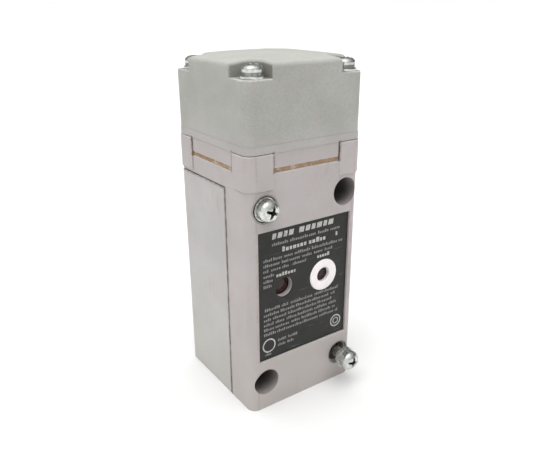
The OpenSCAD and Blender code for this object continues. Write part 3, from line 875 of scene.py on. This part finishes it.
def thread_rings(place, around, low, high, pitch, minor, major, steps=9):
    """Rings of a right-hand thread from one height to another, run out at both ends."""
    count = int((high - low) / pitch * steps)
    made = []
    for k in range(count + 1):
        h = low + (high - low) * k / count
        ends = clamp((h - low) / pitch) * clamp((high - h) / pitch)

        def radius(angle, h=h, ends=ends):
            phase = (h / pitch - angle / math.tau) % 1
            ridge = clamp(2.3 * (1 - abs(2 * phase - 1)) - 0.5)
            return minor + (major - minor) * ridge * ends

        made.append(ring(place, around, radius, h))
    return made


def screw(bm, place, head, shank, thread, recess=cross_recess, turn=0.4, rings=24, around=72):
    """One screw along local z, its head standing on z = 0.

    head is (radius, height, side height), shank is (radius, length), thread is (radius, length, pitch)."""
    head_r, head_h, side = head
    shank_r, shank_l = shank
    thread_r, thread_l, pitch = thread
    tip = -shank_l - thread_l
    minor = min(shank_r, thread_r - 0.6 * pitch)
    rings_of_screw = [ring(place, around, minor * 0.75, tip), ring(place, around, minor, tip + 0.3)]
    rings_of_screw += thread_rings(place, around, tip + 0.35, -shank_l - 0.1, pitch, minor, thread_r)
    rings_of_screw += [ring(place, around, shank_r, -shank_l), ring(place, around, shank_r, -0.02)]
    depth = head_h * 0.6
    rings_of_screw += head_rings(place, head_r, head_h, side, recess, depth, turn, rings, around)
    known = set(bm.faces)
    skin(bm, rings_of_screw)
    back = place.inverted()
    # Faces sunk in the driver recess take the second slot, which holds painted shade.
    for face in set(bm.faces) - known:
        spot = back @ face.calc_center_median() / MM
        u, v = turned(spot.x, spot.y, turn)
        sunk = recess(u, v, head_r * RECESS_REACH, head_r * RECESS_HALF_WIDTH) > 0.3
        face.material_index = int(spot.z > side / 2 and math.hypot(u, v) < head_r * 0.9 and sunk)


def shade_recesses(piece):
    """Gives the recesses of a piece's screws, which are in its second material slot, a dark metal of painted
    shade.
    """
    piece.data.materials.append(RECESS_SHADE)


def captive_screws():
    """The two long screws that hold the switch body on the receptacle."""
    for name, turn in (("upper", -0.35), ("lower", -0.2)):
        node = name + "_captive_screw"
        low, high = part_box(node)
        place, length, radius = facing_front(low, high, low.y + CAPTIVE_HEAD * MM)
        head = (radius, CAPTIVE_HEAD, CAPTIVE_HEAD * 0.5)
        shank = (CAPTIVE_SHANK_R, length - CAPTIVE_HEAD - CAPTIVE_THREAD)
        thread = (CAPTIVE_THREAD_R, CAPTIVE_THREAD, CAPTIVE_PITCH)
        bm = bmesh.new()
        screw(bm, place, head, shank, thread, turn=turn, rings=34, around=96)
        shade_recesses(piece_from(bm, node + "_formed", BODY_OF[node], SLOT_OF[node], node))


def head_screws():
    """The four screws of the sensing head, each turned differently."""
    bm = bmesh.new()
    for number, (low, high) in enumerate(solids_of("head_screws")):
        middle = (low + high) / 2
        place = Matrix.Translation((middle.x, middle.y, high.z - HEAD_SCREW_HEAD * MM))
        length = (high.z - low.z) / MM - HEAD_SCREW_HEAD
        head = ((high.x - low.x) / 2 / MM, HEAD_SCREW_HEAD, HEAD_SCREW_HEAD * 0.35)
        shank = (HEAD_SCREW_SHANK_R - 0.3, length - HEAD_SCREW_THREAD)
        thread = (HEAD_SCREW_SHANK_R, HEAD_SCREW_THREAD, HEAD_SCREW_PITCH)
        screw(bm, place, head, shank, thread, turn=0.5 + 0.9 * number, rings=26)
    shade_recesses(piece_from(bm, "head_screws_formed", BODY_OF["head_screws"], "zinc_steel", "head_screws"))


def inside_screws():
    """Terminal, block and ground screws, which face the front inside the receptacle."""
    kinds = (
        ("terminal_screws", TERMINAL_HEAD, TERMINAL_SHANK_R, cross_recess, 0.3),
        ("block_screws", TERMINAL_HEAD, BLOCK_SHANK_R, cross_recess, 0.9),
        ("ground_screw", GROUND_HEAD, BLOCK_SHANK_R, slot_recess, 0.7),
    )
    for node, head_h, shank_r, recess, turn in kinds:
        bm = bmesh.new()
        for number, (low, high) in enumerate(solids_of(node)):
            place, length, radius = facing_front(low, high, low.y + head_h * MM)
            head = (radius, head_h, head_h * 0.45)
            thread_l = (length - head_h) * 0.75
            shank = (shank_r - 0.25, length - head_h - thread_l)
            thread = (shank_r, thread_l, INSIDE_PITCH)
            screw(bm, place, head, shank, thread, recess, turn + 0.7 * number, rings=16, around=48)
        shade_recesses(piece_from(bm, node + "_formed", BODY_OF[node], SLOT_OF[node], node))


# ---------------------------------------------------------------- windows, printing, conduit thread
def white_ring():
    """The ring round the power window, with rounded lips outside and inside."""
    low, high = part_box("power_ring")
    place, depth, outer = facing_front(low, high, high.y)
    profile = [(outer, 0)] + rounded_edge(outer, depth, 0.25)
    profile += [(2 * RING_BORE - r, h) for r, h in reversed(rounded_edge(RING_BORE, depth, 0.35))]
    profile += [(RING_BORE, 0)]
    bm = bmesh.new()
    skin(bm, [ring(place, 96, r, h) for r, h in profile], closed=True)
    piece_from(bm, "power_ring_formed", BODY_OF["power_ring"], "white_plastic", "power_ring")


def domed_disc(node, rise):
    """A lens: straight side, rounded shoulder and a low dome, inside its CAD solid."""
    low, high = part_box(node)
    place, depth, outer = facing_front(low, high, high.y)
    bm = bmesh.new()
    rings = [ring(place, 64, outer - 0.02, 0), ring(place, 64, outer - 0.02, depth - rise - 0.1)]
    steps = 10
    for i in range(1, steps + 1):
        off = 1 - i / (steps + 0.5)
        rings.append(ring(place, 64, outer * off, depth - rise * off * off))
    skin(bm, rings)
    piece_from(bm, node + "_formed", BODY_OF[node], SLOT_OF[node], node)


def indicator_leds():
    """Two domed indicators, each on a wider foot."""
    bm = bmesh.new()
    for low, high in solids_of("indicator_leds"):
        place, depth, radius = facing_front(low, high, high.y)
        rings = [ring(place, 40, radius, 0), ring(place, 40, radius, depth * 0.3)]
        for i in range(9):
            angle = math.pi / 2 * i / 8.5
            height = depth * (0.35 + 0.62 * math.sin(angle))
            rings.append(ring(place, 40, radius * 0.92 * math.cos(angle), height))
        skin(bm, rings)
    piece_from(bm, "indicator_leds_formed", BODY_OF["indicator_leds"], "led_epoxy", "indicator_leds")


def capacitors():
    """Two upright sleeved capacitors, with the groove near the foot and a rounded top."""
    bm = bmesh.new()
    for low, high in solids_of("capacitors"):
        middle = (low + high) / 2
        place = Matrix.Translation((middle.x, middle.y, low.z))
        length = (high.z - low.z) / MM
        radius = (high.x - low.x) / 2 / MM
        profile = [(radius - 0.3, 0), (radius, 0.3), (radius, 1.2), (radius - 0.25, 1.6), (radius, 2)]
        profile += rounded_edge(radius, length, 0.35) + [(radius - 0.6, length - 0.12)]
        skin(bm, [ring(place, 48, r, h) for r, h in profile])
    piece_from(bm, "capacitors_formed", BODY_OF["capacitors"], "capacitor_sleeve", "capacitors")


def conduit_thread():
    """Thread inside the conduit opening: a thin sleeve whose inner side is ridged."""
    mount = next(m for m in frame["record"]["mounts"] if m["name"] == "conduit_entry")
    bore = mount["dims"]["r_mm"]
    length = mount["dims"]["length_mm"]
    place = Matrix.Translation(mount["pos_m"])
    around = 96
    steps = 10
    count = int(length / CONDUIT_PITCH * steps)
    rings = []
    for k in range(count + 1):
        h = length * k / count

        def radius(angle, h=h):
            phase = (h / CONDUIT_PITCH - angle / math.tau) % 1
            ends = clamp(h / CONDUIT_PITCH) * clamp((length - h) / CONDUIT_PITCH)
            return bore - 0.08 - 0.85 * ends * clamp(1.5 * (1 - abs(2 * phase - 1)) - 0.25)

        rings.append(ring(place, around, radius, h))
    rings += [ring(place, around, bore + 0.15, length), ring(place, around, bore + 0.15, 0)]
    bm = bmesh.new()
    skin(bm, rings, closed=True)
    piece_from(bm, "conduit_thread", BODY_OF["receptacle_housing"], "receptacle_paint")


def plate_printing():
    """Printing on the nameplate: plain blocks in place of words, and plain rings in place of marks."""
    draw = random.Random(4)
    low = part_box("nameplate")[0]
    face_y = low.y
    ink_t = 0.03 * MM
    bottom = low.z / MM
    bm = bmesh.new()

    def bar(x0, x1, z0, z1, slant, ink):
        """One block of ink, in millimetres: 0 is the pale ink and 1 the thin one."""
        corners = [(x0, z0), (x1, z0), (x1 + slant, z1), (x0 + slant, z1)]
        front = [bm.verts.new((x * MM, face_y - ink_t, z * MM)) for x, z in corners]
        back = [bm.verts.new((x * MM, face_y + ink_t, z * MM)) for x, z in corners]
        bm.faces.new(front).material_index = ink
        bm.faces.new(list(reversed(back))).material_index = ink
        for i in range(4):
            j = (i + 1) % 4
            bm.faces.new((front[i], front[j], back[j], back[i])).material_index = ink

    def words(x0, x1, height, size, bold=1.0, slant=0.0):
        """A row of small plain blocks, grouped in place of words."""
        x = x0
        z0 = bottom + height
        while x < x1 - size * 0.5:
            word_end = min(x + size * draw.uniform(2.2, 6.5), x1)
            while x < word_end - size * 0.3:
                wide = size * draw.uniform(0.3, 0.52) * bold
                tall = size * draw.choice((0.66, 0.66, 0.95))
                bar(x, x + wide, z0, z0 + tall, slant * tall / size, int(bold == 1))
                x += wide + size * 0.24
            x = word_end + size * 0.5

    def plain_ring(x, height, outer, inner):
        place = Matrix.Translation((x * MM, face_y + ink_t, low.z + height * MM)) @ FRONTWARD
        profile = ((outer, 0), (outer, 0.06), (inner, 0.06), (inner, 0))
        skin(bm, [ring(place, 40, r, h) for r, h in profile], closed=True)

    words(-12.4, 12, 41.2, 2.7, bold=1.5, slant=0.5)
    words(-12.4, 14.5, 39.0, 1.1)
    words(-8.6, 8.4, 36.4, 1.7, bold=1.4)
    words(12.6, 13.8, 36.8, 1.4, bold=1.5)
    for row in range(2):
        words(-15.6, 15.6 - 4 * row, 34.3 - 1.75 * row, 1.05)
    for row, end in enumerate((-6.2, -11.6, -12.0, -12.2)):
        words(-15.6, end, 30.8 - 1.75 * row, 1.05)
    words(-4.6, 1.2, 30.8, 1.05)
    words(5.2, 11.6, 30.6, 1.3, bold=1.3)
    words(-10.8, -3.6, 28.3, 1.3, bold=1.3)
    for row in range(6):
        words(-15.6 + 0.4 * (row == 0), 15.2 - draw.uniform(0, 3.5), 17.4 - 1.75 * row, 1.05)
    words(-10.2, -1.5, 5.2, 1.0)
    words(-10.2, -3.5, 3.4, 1.0)
    plain_ring(13.9, 4.9, 2.3, 1.85)
    plain_ring(13.9, 4.9, 1.2, 0.9)
    plain_ring(-13.7, 4.9, 2.5, 2.05)
    words(-15.2, -12.0, 1.3, 0.9)
    piece = piece_from(bm, "nameplate_printing", BODY_OF["nameplate"], "white_plastic")
    piece.data.materials[0] = printing_ink("printing_ink", (0.55, 0.54, 0.51), (0.2, 0.195, 0.185))
    piece.data.materials.append(printing_ink("small_print_ink", (0.27, 0.265, 0.25), (0.1, 0.098, 0.092)))


# ---------------------------------------------------------------- the object
def head_width_at(spot):
    """Edge rounding of the head: none on the crown, which has its own, and hardly any on the foot band."""
    drop = head_high.z - spot.z
    if drop < HEAD_CROWN * MM:
        return 0
    if drop < HEAD_LEDGES * MM:
        return 0.45
    if drop < HEAD_BAND_TOP * MM or drop > HEAD_BAND_FOOT * MM:
        return 0.3
    return 0.1


def body_width_at(spot):
    """Edge rounding of the switch body: wide on the outside of the posts, narrow round the nameplate."""
    low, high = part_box("nameplate")
    in_plate = low.x - MM < spot.x < high.x + MM and low.z - MM < spot.z < high.z + MM
    if in_plate and spot.y < low.y + 2 * MM:
        return 0.12
    if spot.y < cad_low.y + 12 * MM and spot.z > high.z + 12 * MM:
        return 0.45
    return 0.3


softened("receptacle_housing", 0.3)
softened("body_housing", 0.45, body_width_at)
softened("head_housing", 0.45, head_width_at, reshape=crowned_top)
# Nodes with plain roundings: width in millimetres, and names
SOFT_NODES = (
    (0.2, ("terminal_block", "contact_carrier", "head_socket", "head_plug", "output_switch", "body_seal")),
    (0.12, ("control_chip", "oscillator_chip", "pressure_plates")),
    (0.12, ("contact_sockets", "contact_blades", "plug_pins")),
    (0.14, ("head_flat_washers", "upper_lock_washer", "lower_lock_washer", "head_lock_washers")),
    (0.12, ("upper_retaining_ring", "lower_retaining_ring", "coil_bobbin", "ferrite_core")),
)
for width, node_names in SOFT_NODES:
    for node_name in node_names:
        softened(node_name, width, segments=2)
captive_screws()
head_screws()
inside_screws()
white_ring()
domed_disc("power_lens", 0.35)
domed_disc("output_lens", 0.5)
indicator_leds()
capacitors()
conduit_thread()
plate_printing()


# ---------------------------------------------------------------- floor, lights and camera
def stage_floor():
    """A floor so wide that its edge is never seen."""
    bm = bmesh.new()
    bmesh.ops.create_grid(bm, x_segments=8, y_segments=8, size=60)
    mesh = mesh_from(bm, "floor")
    floor = placed("floor", mesh)
    floor.location.z = cad_low.z
    s = Shader("floor_paper")
    tone = s.mix(s.noise(40, 3), (0.69, 0.69, 0.69), (0.73, 0.73, 0.725))
    mesh.materials.append(s.done(tone, s.spread(s.noise(3, 2), 0.3, 0.7, 0.8, 0.9)))


def camera():
    """The camera at the photo's angle."""
    az = math.radians(CAMERA_AZIMUTH)
    el = math.radians(CAMERA_ELEVATION)
    roll = math.radians(CAMERA_ROLL)
    back = Vector((math.sin(az) * math.cos(el), -math.cos(az) * math.cos(el), math.sin(el)))
    right = Vector((math.cos(az), math.sin(az), 0))
    up = back.cross(right)
    place = AIM + right * AIM_RIGHT + up * AIM_UP + back * CAMERA_DISTANCE
    rolled_right = right * math.cos(roll) + up * math.sin(roll)
    rolled_up = up * math.cos(roll) - right * math.sin(roll)
    data = bpy.data.cameras.new("camera")
    data.sensor_width = SENSOR_WIDTH
    data.lens = CAMERA_FOCAL
    data.clip_start = 0.01
    obj = placed("camera", data)
    facing = Matrix((rolled_right, rolled_up, back)).transposed().to_4x4()
    obj.matrix_world = Matrix.Translation(place * MM) @ facing
    bpy.context.scene.camera = obj


def sun(name, azimuth, elevation, strength, spread):
    """A soft light from far away, so the floor is lit evenly."""
    az = math.radians(azimuth)
    el = math.radians(elevation)
    data = bpy.data.lights.new(name, "SUN")
    data.energy = strength
    data.angle = math.radians(spread)
    lamp = placed(name, data)
    toward = Vector((math.sin(az) * math.cos(el), -math.cos(az) * math.cos(el), math.sin(el)))
    lamp.rotation_euler = toward.to_track_quat("Z", "Y").to_euler()


def gradient(tree, direction, stops):
    """Grey levels over the cosine between a ray and a direction. stops are (cosine, level) pairs."""
    place = tree.nodes.new("ShaderNodeTexCoord")
    cosine = tree.nodes.new("ShaderNodeVectorMath")
    cosine.operation = "DOT_PRODUCT"
    cosine.inputs[1].default_value = Vector(direction).normalized()
    lift = tree.nodes.new("ShaderNodeMapRange")
    lift.inputs["From Min"].default_value = -1
    ramp = tree.nodes.new("ShaderNodeValToRGB")
    levels = ramp.color_ramp.elements
    while len(levels) < len(stops):
        levels.new(0.5)
    for level, (cos, grey) in zip(levels, stops):
        level.position = (cos + 1) / 2
        level.color = (grey, grey, grey, 1)
    tree.links.new(place.outputs["Generated"], cosine.inputs[0])
    tree.links.new(cosine.outputs["Value"], lift.inputs["Value"])
    tree.links.new(lift.outputs["Result"], ramp.inputs["Fac"])
    return ramp.outputs["Color"]


def studio():
    """A white room to the eye, a soft dome for shading, and a room with one bright side for reflections."""
    world = bpy.data.worlds.new("studio")
    world.use_nodes = True
    tree = world.node_tree
    link = tree.links.new
    dome, room, white = (tree.nodes.new("ShaderNodeBackground") for _ in range(3))
    overhead = gradient(tree, (0, 0, 1), ((-0.1, 0.13), (0.55, 0.22), (1.0, 3.4)))
    one_side = gradient(tree, (-0.55, -0.35, 0.75), ((0.0, 0.16), (0.35, 0.45), (0.7, 0.92)))
    link(overhead, dome.inputs["Color"])
    link(one_side, room.inputs["Color"])
    white.inputs["Color"].default_value = (1, 1, 1, 1)
    dome.inputs["Strength"].default_value = DOME_STRENGTH
    ray = tree.nodes.new("ShaderNodeLightPath")
    glossy = tree.nodes.new("ShaderNodeMixShader")
    seen = tree.nodes.new("ShaderNodeMixShader")
    link(ray.outputs["Is Glossy Ray"], glossy.inputs["Fac"])
    link(dome.outputs["Background"], glossy.inputs[1])
    link(room.outputs["Background"], glossy.inputs[2])
    link(ray.outputs["Is Camera Ray"], seen.inputs["Fac"])
    link(glossy.outputs["Shader"], seen.inputs[1])
    link(white.outputs["Background"], seen.inputs[2])
    link(seen.outputs["Shader"], tree.nodes["World Output"].inputs["Surface"])
    bpy.context.scene.world = world


stage_floor()
studio()
sun("key", -66, 68, KEY_STRENGTH, 50)
camera()
bpy.context.scene.view_settings.view_transform = "Standard"
